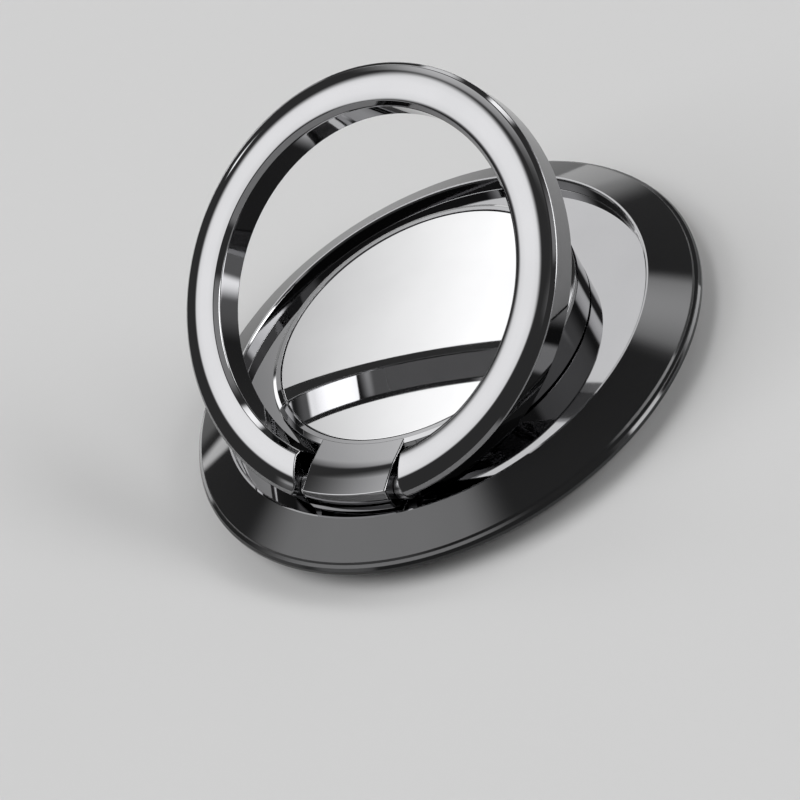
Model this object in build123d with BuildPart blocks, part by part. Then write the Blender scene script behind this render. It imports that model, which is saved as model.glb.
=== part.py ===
"""Finger-ring phone holder: bevelled base, turning boss with a polished disc, and a hinged C-shaped ring.

Millimetres, +Z up. The origin is the centre of the adhesive face the holder rests on.
The hinge is on the -Y side, its axis runs along X, and the ring is modelled part open as photographed.
"""
from math import cos, radians, sin, sqrt
import os

from build123d import *

os.makedirs("parts", exist_ok=True)

# Heights measured up from the adhesive face
pad_thickness = 0.50
back_plate_thickness = 0.30
floor_height = 2.50
floor_web = 0.60
boss_height = 2.74

# Bezel base: steps outwards from its inner wall, and heights above or below its floor
wall_draft = 0.05
lip_width = 0.21
lip_crest_rise = 1.06
lip_inner_rise = 0.92
bevel_width = 2.79
bevel_drop = 0.22
rim_step_out = 0.08
rim_step_drop = 0.16
rim_out = 0.47
rim_wall_drop = 0.42
rim_edge_drop = 0.72
rim_foot_in = 0.97
pad_inset = 0.60

# Turning boss, and what holds it down
boss_radius = 12.05
boss_shoulder_in = 0.45
boss_shoulder_drop = 0.36
boss_land = 0.40
disc_thickness = 0.46
disc_recess = 0.50
spigot_radius = 5.00
retainer_overlap = 0.80
retainer_thickness = 0.40
skirt_thickness = 1.15
thrust_thickness = 0.38
spring_width = 2.30
spring_height = 0.35
spring_stock = 0.20
screw_circle_radius = 3.10
screw_shank_radius = 0.65
screw_head_radius = 1.15
screw_length = 2.60
screw_slot_width = 0.30
screw_slot_depth = 0.18
screw_turns = (90, 210, 330)

# Tongue on the boss
tongue_half_width = 3.45
nose_beyond_pin = 0.44
nose_centre_rise = 1.20
tongue_edge_round = 0.12
tongue_root_land = 0.25
nose_foot_in = 0.55
nose_foot_rise = 0.62
nose_lean = 0.10

# Finger ring: steps in from its two walls, and heights above the front edge of its outer wall
ring_width = 3.12
ring_inner_edge_out = 0.31
ring_shoulder_in = 0.61
ring_draft = 0.11
ring_wall_depth = 2.17
ring_face_inner_rise = 0.39
ring_face_crest_rise = 0.56
ring_face_outer_rise = 0.33
ring_gap_half_width = 4.30
ring_corner_round = 0.80
ring_inner_edge_drop = 0.02
ring_corner_flare = 0.17
ring_open_angle = 33.5

# Hinge
pin_rise = 1.08
pin_to_ring_edge = 1.20
pin_radius = 0.40
pin_grip = 1.00
knuckle_radius = 0.94
washer_radius = 0.90

# Clearances
ring_boss_gap = 0.30
ring_wall_gap = 0.98
bore_clearance = 0.05
thrust_bore_gap = 0.15
spring_bore_gap = 0.25
pocket_gap = 1.20
pin_clearance = 0.03
skirt_gap = 0.12
side_gap = 0.05
plate_gap = 0.02
washer_side_gap = 0.20
screw_gap = 0.03
screw_end_gap = 0.20
tongue_floor_gap = 0.15

# Worked out from the above
boss_top = floor_height + boss_height
web_bottom = floor_height - floor_web
retainer_top = web_bottom - spring_height
bevel_foot = floor_height - bevel_drop
boss_rim_radius = boss_radius - boss_shoulder_in
disc_radius = boss_rim_radius - boss_land - plate_gap
ring_inner_radius = boss_radius + ring_boss_gap
ring_outer_radius = ring_inner_radius + ring_width
ring_face_inner_radius = ring_inner_radius + ring_inner_edge_out
ring_face_outer_radius = ring_outer_radius - ring_shoulder_in
ring_face_crest_radius = (ring_face_inner_radius + ring_face_outer_radius) / 2
ring_back_outer_radius = ring_outer_radius - ring_draft
pin_offset = (ring_inner_radius + ring_outer_radius) / 2
wall_foot_radius = ring_outer_radius + ring_wall_gap
lip_inner_radius = wall_foot_radius + wall_draft
lip_crest_radius = lip_inner_radius + lip_width
bevel_outer_radius = lip_crest_radius + bevel_width
rim_radius = bevel_outer_radius + rim_out
rim_foot_radius = rim_radius - rim_foot_in
pad_radius = rim_foot_radius - pad_inset
tongue_root_radius = disc_radius + tongue_root_land
pin_half_length = ring_gap_half_width + pin_grip
washer_thickness = ring_gap_half_width - tongue_half_width - 2 * side_gap
ring_corner_x = ring_gap_half_width + ring_corner_round
ring_corner_y = sqrt(ring_outer_radius**2 - ring_corner_x**2) + ring_corner_flare
bore_radius = spigot_radius + bore_clearance
thrust_inner_radius = bore_radius + thrust_bore_gap
spring_inner_radius = bore_radius + spring_bore_gap
spring_outer_radius = spring_inner_radius + spring_width
retainer_radius = spring_outer_radius + retainer_overlap
back_pocket_radius = retainer_radius + pocket_gap
retainer_bottom = retainer_top - retainer_thickness
thrust_top = floor_height + thrust_thickness
pin_height = floor_height + pin_rise
nose_radius = boss_height - nose_centre_rise
nose_height = floor_height + nose_centre_rise
nose_centre_radius = pin_offset + nose_beyond_pin
nose_outer_radius = nose_centre_radius + nose_radius
boss_underside = thrust_top + plate_gap
skirt_inner_radius = boss_radius - skirt_thickness
thrust_outer_radius = skirt_inner_radius - washer_side_gap
half_root = sqrt(0.5)
corner_sag = (1 - half_root) * ring_corner_round
open_cos = cos(radians(ring_open_angle))
open_sin = sin(radians(ring_open_angle))
ring_centre_y = -pin_offset + pin_offset * open_cos - pin_to_ring_edge * open_sin
ring_centre_z = pin_height + pin_offset * open_sin + pin_to_ring_edge * open_cos

# Bezel base: bevelled outside, upright inner wall, flat floor with a bore and a pocket behind it.
with BuildPart() as base_bezel:
    with BuildSketch(Plane.XZ):
        with BuildLine():
            Polyline(
                (bore_radius, web_bottom),
                (bore_radius, floor_height),
                (wall_foot_radius, floor_height),
                (lip_inner_radius, floor_height + lip_inner_rise),
                (lip_crest_radius, floor_height + lip_crest_rise),
                (bevel_outer_radius, bevel_foot),
                (bevel_outer_radius + rim_step_out, bevel_foot - rim_step_drop),
                (rim_radius, bevel_foot - rim_wall_drop),
                (rim_radius, bevel_foot - rim_edge_drop),
                (rim_foot_radius, pad_thickness),
                (back_pocket_radius, pad_thickness),
                (back_pocket_radius, web_bottom),
                (bore_radius, web_bottom),
            )
        make_face()
    revolve(axis=Axis.Z)

hinge_plane = Plane(origin=(0, -pin_offset, pin_height), x_dir=(0, -1, 0), z_dir=(-1, 0, 0))

# The tongue is a revolved tab with a rounded nose, kept only between its two flat sides.
with BuildPart() as tongue_tab:
    with BuildSketch(Plane.XZ):
        with BuildLine():
            Line((tongue_root_radius, boss_top), (nose_centre_radius, boss_top))
            ThreePointArc(
                (nose_centre_radius, boss_top),
                (nose_centre_radius + nose_radius * half_root, nose_height + nose_radius * half_root),
                (nose_outer_radius, nose_height),
            )
            Polyline(
                (nose_outer_radius, nose_height),
                (nose_outer_radius - nose_lean, floor_height + nose_foot_rise),
                (nose_outer_radius - nose_foot_in, floor_height + tongue_floor_gap),
                (tongue_root_radius, floor_height + tongue_floor_gap),
                (tongue_root_radius, boss_top),
            )
        make_face()
    revolve(axis=Axis.Z, revolution_arc=360)
    with Locations((0, -tongue_root_radius, floor_height)):
        Box(
            2 * tongue_half_width,
            nose_outer_radius,
            nose_outer_radius,
            align=(Align.CENTER, Align.MAX, Align.CENTER),
            mode=Mode.INTERSECT,
        )
    side_edges = tongue_tab.edges().filter_by(
        lambda e: abs(abs(e.center().X) - tongue_half_width) < 0.001
        and e.center().Z > nose_height
        and e.center().Y < -tongue_root_radius
    )
    chamfer(side_edges, length=tongue_edge_round)

# Turntable: the round boss, its spigot and the tongue, as one casting with screw holes and a hinge bore.
with BuildPart() as turntable:
    with BuildSketch(Plane.XZ):
        with BuildLine():
            Polyline(
                (0, retainer_top),
                (spigot_radius, retainer_top),
                (spigot_radius, boss_underside),
                (skirt_inner_radius, boss_underside),
                (skirt_inner_radius, floor_height + skirt_gap),
                (boss_radius, floor_height + skirt_gap),
                (boss_radius, boss_top - boss_shoulder_drop),
                (boss_rim_radius, boss_top),
                (disc_radius + plate_gap, boss_top),
                (disc_radius + plate_gap, boss_top - disc_recess),
                (0, boss_top - disc_recess),
                (0, retainer_top),
            )
        make_face()
    revolve(axis=Axis.Z)
    add(tongue_tab.part)
    with BuildSketch(hinge_plane):
        Circle(pin_radius + pin_clearance)
    extrude(amount=2 * tongue_half_width, both=True, mode=Mode.SUBTRACT)
    with BuildSketch(Plane.XY.offset(retainer_top)):
        with PolarLocations(screw_circle_radius, len(screw_turns), start_angle=screw_turns[0]):
            Circle(screw_shank_radius)
    extrude(amount=screw_length - retainer_thickness + screw_end_gap, mode=Mode.SUBTRACT)

# Polished disc let into the top of the boss.
with BuildPart() as mirror_disc:
    with BuildSketch(Plane.XY.offset(boss_top - disc_recess)):
        Circle(disc_radius)
    extrude(amount=disc_thickness)

# The finger ring is drawn in its own plane, already turned up about the hinge to the photographed angle.
ring_axis_dir = (0, -open_sin, open_cos)
ring_section_plane = Plane(
    origin=(0, ring_centre_y, ring_centre_z), x_dir=(1, 0, 0), z_dir=(0, -open_cos, -open_sin)
)
ring_plane = Plane(origin=(0, ring_centre_y, ring_centre_z), x_dir=(1, 0, 0), z_dir=ring_axis_dir)
ring_side_plane = Plane(
    origin=(0, -pin_offset, pin_height), x_dir=(0, open_cos, open_sin), z_dir=(1, 0, 0)
)

with BuildPart() as finger_ring:
    with BuildSketch(ring_section_plane):
        with BuildLine():
            Polyline(
                (ring_inner_radius, -ring_wall_depth),
                (ring_inner_radius, -ring_inner_edge_drop),
                (ring_face_inner_radius, ring_face_inner_rise),
            )
            ThreePointArc(
                (ring_face_inner_radius, ring_face_inner_rise),
                (ring_face_crest_radius, ring_face_crest_rise),
                (ring_face_outer_radius, ring_face_outer_rise),
            )
            Polyline(
                (ring_face_outer_radius, ring_face_outer_rise),
                (ring_outer_radius, 0),
                (ring_back_outer_radius, -ring_wall_depth),
                (ring_inner_radius, -ring_wall_depth),
            )
        make_face()
    revolve(axis=Axis((0, ring_centre_y, ring_centre_z), ring_axis_dir))
    # The gap takes the tongue; its outer corners are flared so the ring ends are rounded.
    with BuildSketch(ring_plane):
        with BuildLine():
            Polyline(
                (-ring_corner_x, -ring_outer_radius - ring_corner_round),
                (-ring_corner_x, -ring_corner_y),
            )
            ThreePointArc(
                (-ring_corner_x, -ring_corner_y),
                (-ring_gap_half_width - corner_sag, -ring_corner_y + corner_sag),
                (-ring_gap_half_width, -ring_corner_y + ring_corner_round),
            )
            Polyline(
                (-ring_gap_half_width, -ring_corner_y + ring_corner_round),
                (-ring_gap_half_width, 0),
                (ring_gap_half_width, 0),
                (ring_gap_half_width, -ring_corner_y + ring_corner_round),
            )
            ThreePointArc(
                (ring_gap_half_width, -ring_corner_y + ring_corner_round),
                (ring_gap_half_width + corner_sag, -ring_corner_y + corner_sag),
                (ring_corner_x, -ring_corner_y),
            )
            Polyline(
                (ring_corner_x, -ring_corner_y),
                (ring_corner_x, -ring_outer_radius - ring_corner_round),
                (-ring_corner_x, -ring_outer_radius - ring_corner_round),
            )
        make_face()
    extrude(amount=2 * ring_wall_depth, both=True, mode=Mode.SUBTRACT)
    # Behind the pin the ends are turned down to a knuckle that clears the floor as the ring swings.
    with BuildSketch(ring_side_plane):
        with BuildLine():
            Polyline(
                (-knuckle_radius, 0),
                (-2 * ring_wall_depth, 0),
                (-2 * ring_wall_depth, -ring_wall_depth),
                (0, -ring_wall_depth),
                (0, -knuckle_radius),
            )
            ThreePointArc(
                (0, -knuckle_radius),
                (-knuckle_radius * half_root, -knuckle_radius * half_root),
                (-knuckle_radius, 0),
            )
        make_face()
    extrude(amount=ring_outer_radius, both=True, mode=Mode.SUBTRACT)
    with BuildSketch(ring_side_plane):
        Circle(pin_radius)
    extrude(amount=pin_half_length, both=True, mode=Mode.SUBTRACT)

# Steel pin, pressed into blind bores in the ring ends and running in the tongue.
with BuildPart() as hinge_pin:
    with BuildSketch(hinge_plane):
        Circle(pin_radius)
    extrude(amount=pin_half_length, both=True)

with BuildPart() as hinge_washer_left:
    with BuildSketch(hinge_plane.offset(tongue_half_width + side_gap)):
        Circle(washer_radius)
        Circle(pin_radius + pin_clearance, mode=Mode.SUBTRACT)
    extrude(amount=washer_thickness)

with BuildPart() as hinge_washer_right:
    with BuildSketch(hinge_plane.offset(-tongue_half_width - side_gap - washer_thickness)):
        Circle(washer_radius)
        Circle(pin_radius + pin_clearance, mode=Mode.SUBTRACT)
    extrude(amount=washer_thickness)

# Wear washer between the boss and the floor of the base.
with BuildPart() as thrust_washer:
    with BuildSketch(Plane.XY.offset(floor_height)):
        Circle(thrust_outer_radius)
        Circle(thrust_inner_radius, mode=Mode.SUBTRACT)
    extrude(amount=thrust_thickness)

# Coned spring washer that keeps the boss pulled down and gives the turn its drag.
with BuildPart() as disc_spring:
    with BuildSketch(Plane.XZ):
        with BuildLine():
            Polyline(
                (spring_inner_radius, web_bottom),
                (spring_inner_radius, web_bottom - spring_stock),
                (spring_outer_radius, retainer_top),
                (spring_outer_radius, retainer_top + spring_stock),
                (spring_inner_radius, web_bottom),
            )
        make_face()
    revolve(axis=Axis.Z)

# Retainer plate under the spigot, with three countersunk holes.
with BuildPart() as retainer_plate:
    with BuildSketch(Plane.XY.offset(retainer_bottom)):
        Circle(retainer_radius)
    extrude(amount=retainer_thickness)
    with BuildSketch(Plane.XY.offset(retainer_bottom)):
        with PolarLocations(screw_circle_radius, len(screw_turns), start_angle=screw_turns[0]):
            Circle(screw_shank_radius)
    extrude(amount=retainer_thickness, mode=Mode.SUBTRACT)
    with Locations((0, 0, retainer_bottom)):
        with PolarLocations(screw_circle_radius, len(screw_turns), start_angle=screw_turns[0]):
            Cone(
                bottom_radius=screw_head_radius,
                top_radius=screw_shank_radius,
                height=retainer_thickness,
                align=(Align.CENTER, Align.CENTER, Align.MIN),
                mode=Mode.SUBTRACT,
            )

# One countersunk screw on its own axis, head down, with a straight slot.
with BuildPart() as screw_form:
    with BuildSketch(Plane.XZ):
        with BuildLine():
            Polyline(
                (0, 0),
                (screw_head_radius - screw_gap, 0),
                (screw_shank_radius - screw_gap, retainer_thickness),
                (screw_shank_radius - screw_gap, screw_length),
                (0, screw_length),
                (0, 0),
            )
        make_face()
    revolve(axis=Axis.Z)
    Box(
        3 * screw_head_radius,
        screw_slot_width,
        2 * screw_slot_depth,
        mode=Mode.SUBTRACT,
    )

# The three screws stand round the spigot at the same places as their holes.
screw_points = [
    (screw_circle_radius * cos(radians(turn)), screw_circle_radius * sin(radians(turn)), retainer_bottom)
    for turn in screw_turns
]
with BuildPart() as retainer_screw_1:
    with Locations(screw_points[0]):
        add(screw_form.part)
with BuildPart() as retainer_screw_2:
    with Locations(screw_points[1]):
        add(screw_form.part)
with BuildPart() as retainer_screw_3:
    with Locations(screw_points[2]):
        add(screw_form.part)

# Thin plate that closes the pocket behind the boss, flush with the foot of the base.
with BuildPart() as back_plate:
    with BuildSketch(Plane.XY.offset(pad_thickness)):
        Circle(back_pocket_radius - plate_gap)
    extrude(amount=back_plate_thickness)

with BuildPart() as adhesive_pad:
    with BuildSketch(Plane.XY):
        Circle(pad_radius)
    extrude(amount=pad_thickness)

pieces = {
    "base_bezel": base_bezel,
    "turntable": turntable,
    "mirror_disc": mirror_disc,
    "finger_ring": finger_ring,
    "hinge_pin": hinge_pin,
    "hinge_washer_left": hinge_washer_left,
    "hinge_washer_right": hinge_washer_right,
    "thrust_washer": thrust_washer,
    "disc_spring": disc_spring,
    "retainer_plate": retainer_plate,
    "retainer_screw_1": retainer_screw_1,
    "retainer_screw_2": retainer_screw_2,
    "retainer_screw_3": retainer_screw_3,
    "back_plate": back_plate,
    "adhesive_pad": adhesive_pad,
}
for name, piece in pieces.items():
    piece.part.label = name
    export_step(piece.part, f"parts/{name}.step")
    print(name, round(piece.part.volume, 2), len(piece.part.solids()), piece.part.is_valid)
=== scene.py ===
"""Looks of the finger-ring phone holder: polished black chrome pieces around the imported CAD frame."""
from math import atan2, cos, hypot, pi, radians, sin, tan

import bpy
from mathutils import Matrix, Vector


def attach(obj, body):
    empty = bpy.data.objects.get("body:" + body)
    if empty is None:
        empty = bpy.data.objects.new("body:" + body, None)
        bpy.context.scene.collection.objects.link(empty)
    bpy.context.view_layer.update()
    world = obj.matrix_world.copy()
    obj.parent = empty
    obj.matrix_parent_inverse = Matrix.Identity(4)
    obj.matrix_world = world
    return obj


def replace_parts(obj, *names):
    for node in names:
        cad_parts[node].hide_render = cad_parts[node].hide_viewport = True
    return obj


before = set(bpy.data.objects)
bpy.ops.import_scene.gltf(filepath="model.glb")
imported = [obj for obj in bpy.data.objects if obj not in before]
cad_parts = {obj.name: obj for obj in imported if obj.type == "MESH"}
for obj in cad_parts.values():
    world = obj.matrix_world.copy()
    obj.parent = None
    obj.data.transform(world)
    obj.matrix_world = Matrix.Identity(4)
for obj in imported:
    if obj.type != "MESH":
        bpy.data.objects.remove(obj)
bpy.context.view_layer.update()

# Sizes and places are in millimetres, and these turn lengths into the scene's metres.
MM = 0.001
MICROMETRE = 0.001 * MM

# Height of the base's floor
floor_height = 2.50

# Camera, read off the ellipses that the circles of the base, boss and ring make in the photograph
view_azimuth = 45.3
view_elevation = 38.04
view_roll = 33.43
view_distance = 146.80
view_shift_right = 2.58
view_shift_down = -3.91
view_lens = 91.27

# Bezel base: each corner's radius, its height above the recess floor, and its rounding.
# Every loop of corners runs anticlockwise, up its outer side.
lip_crest_radius = 16.74
base_corners = (
    (9.60, -0.60, 0.05),
    (9.60, -2.00, 0.05),
    (19.00, -2.00, 0.05),
    (19.62, -1.32, 0.20),
    (19.97, -0.94, 0.12),
    (19.97, -0.68, 0.12),
    (19.82, -0.46, 0.08),
    (19.58, -0.38, 0.04),
    (19.50, -0.22, 0.05),
    (lip_crest_radius, 1.055, 0.03),
    (16.59, 1.045, 0.05),
    (16.50, 0.92, 0.10),
    (16.45, 0.00, 0.06),
    (5.05, 0.00, 0.05),
    (5.05, -0.60, 0.05),
)

# Turning boss and its spigot, and the disc in it, closed on the axis
boss_corners = (
    (0, -0.95, 0),
    (5.00, -0.95, 0.05),
    (5.00, 0.40, 0.03),
    (10.90, 0.40, 0.03),
    (10.90, 0.12, 0.03),
    (12.05, 0.12, 0.04),
    (12.05, 2.32, 0.16),
    (11.93, 2.60, 0.12),
    (11.60, 2.74, 0.08),
    (11.24, 2.74, 0.04),
    (11.24, 2.24, 0.02),
    (0, 2.24, 0),
)
disc_corners = ((0, 2.24, 0), (11.15, 2.24, 0.02), (11.15, 2.70, 0.05), (0, 2.70, 0))

# Tongue on the boss: its section on the middle plane, and the rounding where that meets the flat sides
tongue_half_width = 3.45
tongue_corners = (
    (11.62, 0.15, 0.15),
    (15.34, 0.15, 0.14),
    (15.79, 0.62, 0.15),
    (15.89, 1.20, 0.30),
    (15.76, 2.36, 0.09),
    (13.85, 2.74, 5.00),
    (11.40, 2.74, 0.15),
)
tongue_edge_round = 0.12
tongue_rows = 24

# Finger ring, in its own plane: radius, height above the front edge of its outer wall, and rounding
ring_back_and_shoulder = (
    (12.35, -2.17, 0.12),
    (15.36, -2.17, 0.12),
    (15.47, 0.00, 0.16),
    (15.20, 0.23, 0.20),
)
ring_face_outer = (14.86, 0.33)
ring_face_crest = (13.76, 0.56)
ring_face_inner = (12.66, 0.39)
ring_face_inner_round = 0.12
ring_inner_edge = (12.35, -0.02)
ring_inner_edge_round = 0.30
ring_face_steps = 16
ring_gap_half_width = 4.30
ring_corner_round = 0.80
ring_corner_centre_y = 13.975
ring_end_round = 0.10
ring_open_angle = radians(33.5)

# Halving finds where the ring's end meets a circle, between these angles from the middle of the gap.
ring_end_least_angle = 0.05
ring_end_most_angle = 0.6
ring_end_halvings = 40

# Hinge
pin_offset = 13.91
pin_height = 3.58
pin_to_ring_edge = 1.20
knuckle_radius = 0.94

# Fineness of the meshes: steps in a whole turn, the angle of a step round a corner, the rows of a
# rounded end, and the longest step along an edge
turns = 288
round_step = radians(9)
fewest_round_steps = 2
end_rows = 5
longest_step = 0.22

# A point nearer to the axis than this lies on it, and a fillet takes at most this share of an edge.
axis_tolerance = 0.001
longest_fillet_share = 0.49

# How far a material's tone drifts, the part of the noise that its gloss follows, and marks to a patch
tone_drift = 0.06
gloss_noise_low = 0.3
gloss_noise_high = 0.7
marks_to_patch = 12

# Floor: how far it reaches from the middle, and its tone, which the horizon behind it shares
floor_reach = 3000
pale_tone = 0.62


def link(name, shape, body, materials):
    """Makes a smooth mesh piece from millimetre points, their true normals and faces, riding on a body."""
    verts, normals, faces = shape
    mesh = bpy.data.meshes.new(name)
    mesh.from_pydata([(x * MM, y * MM, z * MM) for x, y, z in verts], [], faces)
    mesh.polygons.foreach_set("use_smooth", [True] * len(mesh.polygons))
    mesh.validate()
    mesh.normals_split_custom_set_from_vertices(normals)
    for material in materials:
        mesh.materials.append(material)
    piece = bpy.data.objects.new(name, mesh)
    bpy.context.scene.collection.objects.link(piece)
    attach(piece, body)
    return piece


def rounded(corners):
    """Turns a closed loop of (r, z, rounding) corners into points, with a fillet at each rounded corner."""
    points = []
    count = len(corners)
    for i, (r, z, rounding) in enumerate(corners):
        corner = Vector((r, z))
        if not rounding:
            points.append(corner)
            continue
        before = Vector(corners[i - 1][:2]) - corner
        after = Vector(corners[(i + 1) % count][:2]) - corner
        turn = pi - before.angle(after)
        longest = longest_fillet_share * min(before.length, after.length)
        reach = min(rounding * tan(turn / 2), longest)
        start = corner + before.normalized() * reach
        end = corner + after.normalized() * reach
        # A conic through the corner's tangent points, with the weight of a circle
        weight = cos(turn / 2)
        steps = max(fewest_round_steps, round(turn / round_step))
        for k in range(steps + 1):
            t = k / steps
            a, b, c = (1 - t) ** 2, 2 * t * (1 - t) * weight, t**2
            points.append((start * a + corner * b + end * c) / (a + b + c))
    return points


def spaced(points):
    """Adds points on the long edges of a closed loop."""
    out = []
    for i, point in enumerate(points):
        after = points[(i + 1) % len(points)]
        parts = max(1, int((after - point).length / longest_step))
        out += [point.lerp(after, k / parts) for k in range(parts)]
    return out


def loop_normals(points):
    """Outward normals of an anticlockwise loop, led by each point's longer edge and upright on the axis."""
    normals = []
    count = len(points)
    for i, point in enumerate(points):
        total = Vector((0, 0))
        for a, b in ((points[i - 1], point), (point, points[(i + 1) % count])):
            edge = b - a
            total += Vector((edge.y, -edge.x)) * edge.length
        if point.x < axis_tolerance:
            total.x = 0
        normals.append(total.normalized())
    return normals


def lathe(corners):
    """A loop of corners turned about Z. A point on the axis is one vertex, and the axis has no face."""
    points = rounded(corners)
    normals = loop_normals(points)
    count = len(points)
    places, verts, vert_normals, faces = {}, [], [], []
    for turn in range(turns):
        c, s = cos(2 * pi * turn / turns), sin(2 * pi * turn / turns)
        for i, (point, normal) in enumerate(zip(points, normals)):
            if turn and point.x < axis_tolerance:
                places[turn, i] = places[0, i]
                continue
            places[turn, i] = len(verts)
            verts.append((point.x * c, point.x * s, point.y + floor_height))
            vert_normals.append((normal.x * c, normal.x * s, normal.y))
    for turn in range(turns):
        there = (turn + 1) % turns
        for i in range(count):
            j = (i + 1) % count
            quad = [places[turn, i], places[there, i], places[there, j], places[turn, j]]
            face = tuple(dict.fromkeys(quad))
            if len(face) > 2:
                faces.append(face)
    return verts, vert_normals, faces


def joined(*shells):
    """Joins shells of verts, normals and faces into one."""
    verts, normals, faces = [], [], []
    for shell_verts, shell_normals, shell_faces in shells:
        start = len(verts)
        verts += shell_verts
        normals += shell_normals
        faces += [tuple(start + i for i in face) for face in shell_faces]
    return verts, normals, faces


def rows_of_faces(row_count, count):
    """Quads between rows of a closed loop's points."""
    faces = []
    for row in range(row_count - 1):
        here, there = row * count, (row + 1) * count
        for i in range(count):
            j = (i + 1) % count
            faces.append((here + i, there + i, there + j, here + j))
    return faces


def tongue():
    """The tab that the ring hinges on: a turned section between two flat sides with rounded edges."""
    points = spaced(rounded(tongue_corners))
    normals = loop_normals(points)
    count = len(points)
    verts, vert_normals = [], []
    rows = [(-1, pi / 2 * (1 - k / end_rows)) for k in range(end_rows + 1)]
    rows += [(-1 + 2 * k / tongue_rows, 0) for k in range(1, tongue_rows)]
    rows += [(1, pi / 2 * k / end_rows) for k in range(end_rows + 1)]
    flat = tongue_half_width - tongue_edge_round
    for side, lean in rows:
        x = side * (flat + tongue_edge_round * sin(lean))
        for point, normal in zip(points, normals):
            inset = point - normal * tongue_edge_round * (1 - cos(lean))
            y = -((inset.x**2 - x**2) ** 0.5)
            verts.append((x, y, inset.y + floor_height))
            way = Vector((normal.x * x / inset.x, normal.x * y / inset.x, normal.y))
            way = way * cos(lean) + Vector((side, 0, 0)) * sin(lean)
            vert_normals.append(tuple(way.normalized()))
    faces = rows_of_faces(len(rows), count)
    last = (len(rows) - 1) * count
    faces.append(tuple(range(count)))
    faces.append(tuple(reversed(range(last, last + count))))
    return verts, vert_normals, faces


def ring_loop():
    """The ring's section, with its domed face put in as an arc through three points."""
    ax, ay, bx, by, cx, cy = *ring_face_inner, *ring_face_crest, *ring_face_outer
    double_area = 2 * (ax * (by - cy) + bx * (cy - ay) + cx * (ay - by))
    a, b, c = ax**2 + ay**2, bx**2 + by**2, cx**2 + cy**2
    centre_x = (a * (by - cy) + b * (cy - ay) + c * (ay - by)) / double_area
    centre_y = (a * (cx - bx) + b * (ax - cx) + c * (bx - ax)) / double_area
    radius = hypot(ax - centre_x, ay - centre_y)
    start = atan2(cy - centre_y, cx - centre_x)
    end = atan2(ay - centre_y, ax - centre_x)
    corners = list(ring_back_and_shoulder)
    for k in range(ring_face_steps):
        angle = start + (end - start) * k / ring_face_steps
        corners.append((centre_x + radius * cos(angle), centre_y + radius * sin(angle), 0))
    corners += [(*ring_face_inner, ring_face_inner_round), (*ring_inner_edge, ring_inner_edge_round)]
    return spaced(rounded(corners))


def ring_end_angle(radius, inset):
    """The angle from the gap's middle at which a circle of this radius meets the inset end of the ring."""
    centre_x = ring_gap_half_width + ring_corner_round

    def inside(angle):
        x, y = radius * sin(angle), radius * cos(angle)
        if y <= ring_corner_centre_y:
            return x > ring_gap_half_width + inset
        if x >= centre_x:
            return True
        return hypot(x - centre_x, y - ring_corner_centre_y) < ring_corner_round - inset

    low, high = ring_end_least_angle, ring_end_most_angle
    for _ in range(ring_end_halvings):
        middle = (low + high) / 2
        low, high = (low, middle) if inside(middle) else (middle, high)
    return high


def ring_end_way(radius, angle):
    """The direction that the ring's end faces there, in the ring's plane."""
    centre_x = ring_gap_half_width + ring_corner_round
    x, y = radius * sin(angle), radius * cos(angle)
    if y <= ring_corner_centre_y:
        return Vector((-1, 0))
    return Vector((x - centre_x, y - ring_corner_centre_y)).normalized()


def finger_ring():
    """The open ring: its section swept round from end to end, with rounded ends and knuckles."""
    points = ring_loop()
    normals = loop_normals(points)
    count = len(points)
    along_x = Vector((1, 0, 0))
    out_way = Vector((0, -cos(ring_open_angle), -sin(ring_open_angle)))
    up_way = Vector((0, -sin(ring_open_angle), cos(ring_open_angle)))
    pin = Vector((0, -pin_offset, pin_height))
    centre = pin - out_way * pin_offset + up_way * pin_to_ring_edge
    verts, vert_normals = [], []
    rows = [(0, pi / 2 * (1 - k / end_rows)) for k in range(end_rows)]
    rows += [(k / turns, 0) for k in range(turns + 1)]
    rows += [(1, pi / 2 * (k + 1) / end_rows) for k in range(end_rows)]
    for share, lean in rows:
        for point, normal in zip(points, normals):
            inset = point - normal * ring_end_round * (1 - cos(lean))
            first = ring_end_angle(inset.x, ring_end_round * (1 - sin(lean)))
            angle = first + (2 * pi - 2 * first) * share
            x, y = inset.x * sin(angle), inset.x * cos(angle)
            way = Vector((normal.x * sin(angle), normal.x * cos(angle), normal.y))
            # Behind and below the pin the section is turned down to the knuckle.
            beyond, above = y - pin_offset, inset.y + pin_to_ring_edge
            reach = hypot(beyond, above)
            if beyond > 0 and above < 0 and reach > knuckle_radius:
                y = pin_offset + beyond * knuckle_radius / reach
                above *= knuckle_radius / reach
                way = Vector((0, beyond / reach, above / knuckle_radius))
            if lean:
                end_way = ring_end_way(inset.x, first)
                sign = 1 if share == 0 else -1
                way = way * cos(lean) + Vector((sign * end_way.x, end_way.y, 0)) * sin(lean)
            place = centre + along_x * x + out_way * y + up_way * (above - pin_to_ring_edge)
            verts.append(tuple(place))
            vert_normals.append(tuple((along_x * way.x + out_way * way.y + up_way * way.z).normalized()))
    faces = rows_of_faces(len(rows), count)
    faces += ring_end_faces(points, 0, flip=False)
    faces += ring_end_faces(points, (len(rows) - 1) * count, flip=True)
    return verts, vert_normals, faces


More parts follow.
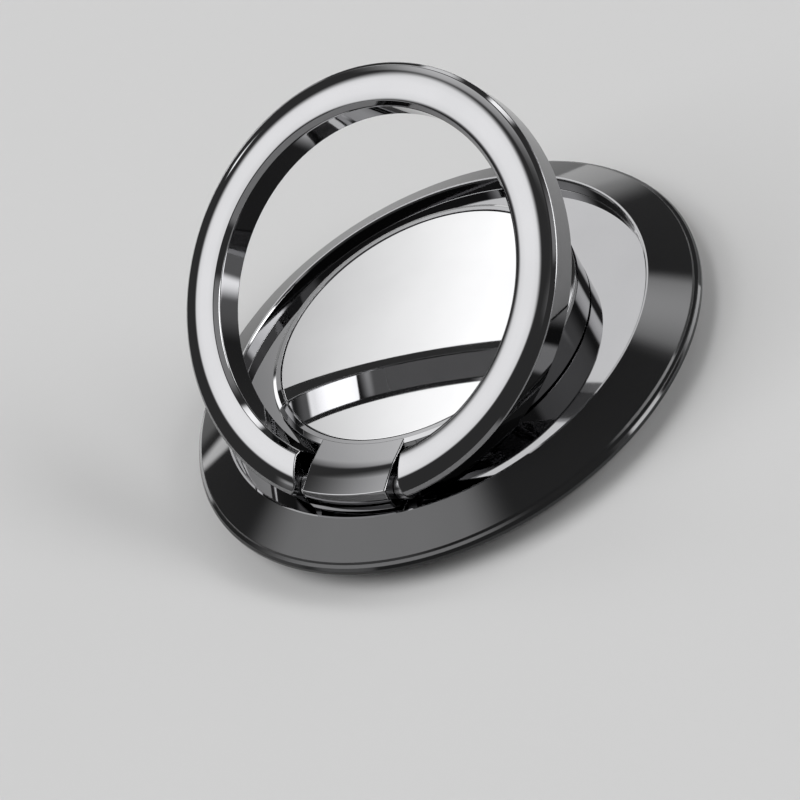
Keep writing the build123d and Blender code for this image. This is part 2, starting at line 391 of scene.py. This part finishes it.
def ring_end_faces(points, start, flip):
    """Closes an end, whose vertices count from start, with a strip between the section's two sides."""
    count = len(points)
    inner = min(range(count), key=lambda i: (points[i].x, points[i].y))
    outer = max(range(count), key=lambda i: (points[i].x, -points[i].y))
    lower = [(inner + k) % count for k in range((outer - inner) % count + 1)]
    upper = [(inner - k) % count for k in range((inner - outer) % count + 1)]
    faces = []
    a = b = 0
    while a < len(lower) - 1 or b < len(upper) - 1:
        upper_done = b == len(upper) - 1
        lower_left = a < len(lower) - 1
        if a == 0 or upper_done or (lower_left and points[lower[a + 1]].x <= points[upper[b + 1]].x):
            face = (lower[a], lower[a + 1], upper[b])
            a += 1
        else:
            face = (lower[a], upper[b + 1], upper[b])
            b += 1
        if len(set(face)) == 3:
            face = tuple(start + i for i in face)
            faces.append(tuple(reversed(face)) if flip else face)
    return faces


def shaded(name, colour, metallic, roughness, patch, scratch):
    """A material whose tone and gloss drift a little from patch to patch, with fine marks in the surface.

    roughness is the least and the most, patch the size of a patch in millimetres, and scratch the depth of
    the marks in micrometres.
    """
    material = bpy.data.materials.new(name)
    material.use_nodes = True
    nodes, links = material.node_tree.nodes, material.node_tree.links
    shader = nodes["Principled BSDF"]
    shader.inputs["Metallic"].default_value = metallic
    place = nodes.new("ShaderNodeTexCoord")
    drift = nodes.new("ShaderNodeTexNoise")
    drift.inputs["Scale"].default_value = 1 / (patch * MM)
    drift.inputs["Detail"].default_value = 3
    links.new(place.outputs["Object"], drift.inputs["Vector"])
    tone = nodes.new("ShaderNodeMix")
    tone.data_type = "RGBA"
    tone.inputs["A"].default_value = (*[(1 - tone_drift) * c for c in colour], 1)
    tone.inputs["B"].default_value = (*[(1 + tone_drift) * c for c in colour], 1)
    links.new(drift.outputs["Fac"], tone.inputs["Factor"])
    links.new(tone.outputs["Result"], shader.inputs["Base Color"])
    gloss = nodes.new("ShaderNodeMapRange")
    gloss.inputs["From Min"].default_value = gloss_noise_low
    gloss.inputs["From Max"].default_value = gloss_noise_high
    gloss.inputs["To Min"].default_value = roughness[0]
    gloss.inputs["To Max"].default_value = roughness[1]
    links.new(drift.outputs["Fac"], gloss.inputs["Value"])
    links.new(gloss.outputs["Result"], shader.inputs["Roughness"])
    marks = nodes.new("ShaderNodeTexNoise")
    marks.inputs["Scale"].default_value = marks_to_patch / (patch * MM)
    marks.inputs["Detail"].default_value = 4
    links.new(place.outputs["Object"], marks.inputs["Vector"])
    bump = nodes.new("ShaderNodeBump")
    bump.inputs["Distance"].default_value = scratch * MICROMETRE
    links.new(marks.outputs["Fac"], bump.inputs["Height"])
    links.new(bump.outputs["Normal"], shader.inputs["Normal"])
    return material


# Materials: colour, metallic share, roughness, patch size and depth of the marks
black_chrome = shaded("black_chrome", (0.225, 0.225, 0.23), 1, (0.02, 0.05), 5, 0.02)
# A darker copy of the black chrome: painted shade for the dark surroundings that the base's bevel and rim
# mirror
shade_painted_chrome = shaded("shade_painted_chrome", (0.040, 0.040, 0.041), 0.7, (0.03, 0.06), 5, 0.02)
bright_chrome = shaded("bright_chrome", (0.46, 0.46, 0.465), 1, (0.01, 0.03), 6, 0.01)
steel = shaded("steel", (0.52, 0.52, 0.53), 1, (0.22, 0.36), 1.5, 2)
spring_steel = shaded("spring_steel", (0.30, 0.31, 0.33), 1, (0.25, 0.4), 2, 2)
zinc_plate = shaded("zinc_plate", (0.58, 0.58, 0.60), 1, (0.3, 0.45), 3, 3)
slip_plastic = shaded("slip_plastic", (0.80, 0.80, 0.78), 0, (0.4, 0.55), 2, 4)
foam = shaded("foam", (0.045, 0.045, 0.045), 0, (0.7, 0.9), 1.2, 25)

# Pieces that take the place of solids. Outside the lip's crest, the bevel and rim get a darker chrome:
# painted shade.
base_piece = link(
    "base_bezel_polished", lathe(base_corners), "base", (black_chrome, shade_painted_chrome)
)
# Faces outside the lip's crest take the copy of the chrome that is darkened with painted shade.
for polygon in base_piece.data.polygons:
    polygon.material_index = int(hypot(*polygon.center.xy) > lip_crest_radius * MM)
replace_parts(base_piece, "base_bezel")
boss_shape = joined(lathe(boss_corners), tongue())
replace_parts(link("turntable_polished", boss_shape, "boss", (black_chrome,)), "turntable")
disc_piece = link("mirror_disc_polished", lathe(disc_corners), "boss", (bright_chrome,))
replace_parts(disc_piece, "mirror_disc")
ring_piece = link("finger_ring_polished", finger_ring(), "ring", (black_chrome,))
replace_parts(ring_piece, "finger_ring")

# Solids shown as they are
finishes = {
    "hinge_pin": steel,
    "hinge_washer_left": steel,
    "hinge_washer_right": steel,
    "thrust_washer": slip_plastic,
    "disc_spring": spring_steel,
    "retainer_plate": zinc_plate,
    "retainer_screw_1": steel,
    "retainer_screw_2": steel,
    "retainer_screw_3": steel,
    "back_plate": zinc_plate,
    "adhesive_pad": foam,
}
for node, material in finishes.items():
    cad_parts[node].data.materials[0] = material

# Floor
far = floor_reach * MM
floor_corners = [(-far, -far, 0), (far, -far, 0), (far, far, 0), (-far, far, 0)]
floor_mesh = bpy.data.meshes.new("floor")
floor_mesh.from_pydata(floor_corners, [], [(0, 1, 2, 3)])
floor_piece = bpy.data.objects.new("floor", floor_mesh)
bpy.context.scene.collection.objects.link(floor_piece)
floor_material = bpy.data.materials.new("floor")
floor_material.use_nodes = True
floor_shader = floor_material.node_tree.nodes["Principled BSDF"]
floor_shader.inputs["Base Color"].default_value = (pale_tone, pale_tone, pale_tone, 1)
floor_shader.inputs["Roughness"].default_value = 0.8
floor_shader.inputs["Specular IOR Level"].default_value = 0.1
floor_mesh.materials.append(floor_material)

# Camera
camera_data = bpy.data.cameras.new("camera")
camera_data.sensor_width = 36
camera_data.lens = view_lens
camera_data.clip_start = 0.01
camera = bpy.data.objects.new("camera", camera_data)
bpy.context.scene.collection.objects.link(camera)
camera_turn = (
    Matrix.Rotation(radians(view_azimuth), 3, "Z")
    @ Matrix.Rotation(radians(90 - view_elevation), 3, "X")
    @ Matrix.Rotation(radians(-view_roll), 3, "Z")
)
look_at = Vector((0, 0, floor_height))
camera_place = look_at - camera_turn @ Vector((view_shift_right, -view_shift_down, -view_distance))
camera.matrix_world = Matrix.Translation(camera_place * MM) @ camera_turn.to_4x4()
bpy.context.scene.camera = camera

# World: soft boxes over a dim room. Each corner of a box has its azimuth and elevation in degrees, and the
# softness of the edge that leaves it. The glow of a box runs from its first value to its second while the
# cosine of the angle to the direction named towards runs over the shares.
boxes = {
    "main": {
        "corners": (
            (179, 27.7, 0.12),
            (205.3, 26.7, 0.10),
            (229.6, 29.4, 0.08),
            (255.7, 44.7, 0.08),
            (280, 60, 0.18),
            (115, 85, 0.20),
            (135, 54, 0.26),
        ),
        "towards": (-150, 58),
        "shares": (0.80, 0.98),
        "glow": (2.2, 3.1),
    },
    "left": {
        "corners": ((98, 28, 0.05), (149, 28, 0.17), (147, 46, 0.07), (98, 50, 0.10)),
        "towards": (11, 36),
        "shares": (-0.078, 0.033),
        "glow": (0.75, 2.08),
    },
    "left edge": {
        "corners": ((149, 9, 0.04), (164, 9, 0.02), (166, 27, 0.04), (151, 30, 0.06)),
        "towards": (158, 18),
        "shares": (0.9, 1.0),
        "glow": (3.6, 3.8),
    },
    "back": {
        "corners": ((101, -5, 0.05), (122, -5, 0.05), (122, 24, 0.10), (101, 24, 0.10)),
        "towards": (111, 8),
        "shares": (0.95, 1.0),
        "glow": (0.7, 1.2),
    },
    "kicker": {
        "corners": ((66, 34, 0.06), (88, 34, 0.06), (86, 57, 0.10), (62, 55, 0.06)),
        "towards": (78, 44),
        "shares": (0.98, 1.0),
        "glow": (1.0, 4.5),
    },
    "right": {
        "corners": ((-3, 6, 0.05), (46, 26, 0.08), (42, 40, 0.05), (-4, 22, 0.02)),
        "towards": (8, 20),
        "shares": (0.9, 1.0),
        "glow": (6.0, 10.0),
    },
    "right fill": {
        "corners": ((-14, 16, 0.10), (62, 16, 0.20), (62, 46, 0.10), (-14, 46, 0.10)),
        "towards": (20, 35),
        "shares": (0.9, 1.0),
        "glow": (0.5, 0.7),
    },
    "low right": {
        "corners": ((-14, -5, 0.03), (68, -5, 0.05), (68, 10, 0.08), (-14, 10, 0.10)),
        "towards": (48, 4),
        "shares": (0.7, 1.0),
        "glow": (2.0, 4.5),
    },
    "low front": {
        "corners": ((-145, 7, 0.05), (-110, 7, 0.06), (-110, 20, 0.10), (-145, 20, 0.06)),
        "towards": (-126, 13),
        "shares": (0.95, 1.0),
        "glow": (0.9, 1.1),
    },
}

# The pale horizon gives way to the dim room between these sines of elevation.
room_glow = 0.10
horizon_height = (0.10, 0.15)


def way_of(azimuth, elevation):
    """The direction at this azimuth and elevation in degrees."""
    azimuth, elevation = radians(azimuth), radians(elevation)
    return Vector((cos(azimuth) * cos(elevation), sin(azimuth) * cos(elevation), sin(elevation)))


world = bpy.data.worlds.new("studio")
world.use_nodes = True
world_nodes, world_links = world.node_tree.nodes, world.node_tree.links
sky = world_nodes["Background"]
sky.inputs["Color"].default_value = (1, 1, 1, 1)
look_way = world_nodes.new("ShaderNodeTexCoord").outputs["Generated"]


def along(way):
    """The cosine of the angle between each direction of the world and this one."""
    dot = world_nodes.new("ShaderNodeVectorMath")
    dot.operation = "DOT_PRODUCT"
    dot.inputs[1].default_value = way
    world_links.new(look_way, dot.inputs[0])
    return dot.outputs["Value"]


def eased(value, low, high, start, end, form="SMOOTHSTEP"):
    """Eases from start at low to end at high."""
    ease = world_nodes.new("ShaderNodeMapRange")
    ease.interpolation_type = form
    for socket, number in (("From Min", low), ("From Max", high), ("To Min", start), ("To Max", end)):
        ease.inputs[socket].default_value = number
    world_links.new(value, ease.inputs["Value"])
    return ease.outputs["Result"]


def combined(operation, first, second):
    """Adds or multiplies two values of the world."""
    node = world_nodes.new("ShaderNodeMath")
    node.operation = operation
    world_links.new(first, node.inputs[0])
    world_links.new(second, node.inputs[1])
    return node.outputs["Value"]


def box_glow(box):
    """The glow of a box in each direction, faded out over each edge between two corners."""
    ways = [way_of(azimuth, elevation) for azimuth, elevation, _ in box["corners"]]
    middle = sum(ways, Vector((0, 0, 0)))
    glow = eased(along(way_of(*box["towards"])), *box["shares"], *box["glow"], "LINEAR")
    for i, (_, _, softness) in enumerate(box["corners"]):
        inward = ways[i].cross(ways[(i + 1) % len(ways)]).normalized()
        if inward.dot(middle) < 0:
            inward.negate()
        glow = combined("MULTIPLY", glow, eased(along(inward), 0, softness, 0, 1))
    return glow


height = along(Vector((0, 0, 1)))
light = eased(height, *horizon_height, pale_tone, room_glow)
for box in boxes.values():
    light = combined("ADD", light, box_glow(box))
seen_by_camera = world_nodes.new("ShaderNodeLightPath").outputs["Is Camera Ray"]
choice = world_nodes.new("ShaderNodeMix")
world_links.new(seen_by_camera, choice.inputs["Factor"])
world_links.new(light, choice.inputs["A"])
choice.inputs["B"].default_value = pale_tone
world_links.new(choice.outputs["Result"], sky.inputs["Strength"])
bpy.context.scene.world = world
bpy.context.scene.view_settings.view_transform = "Standard"
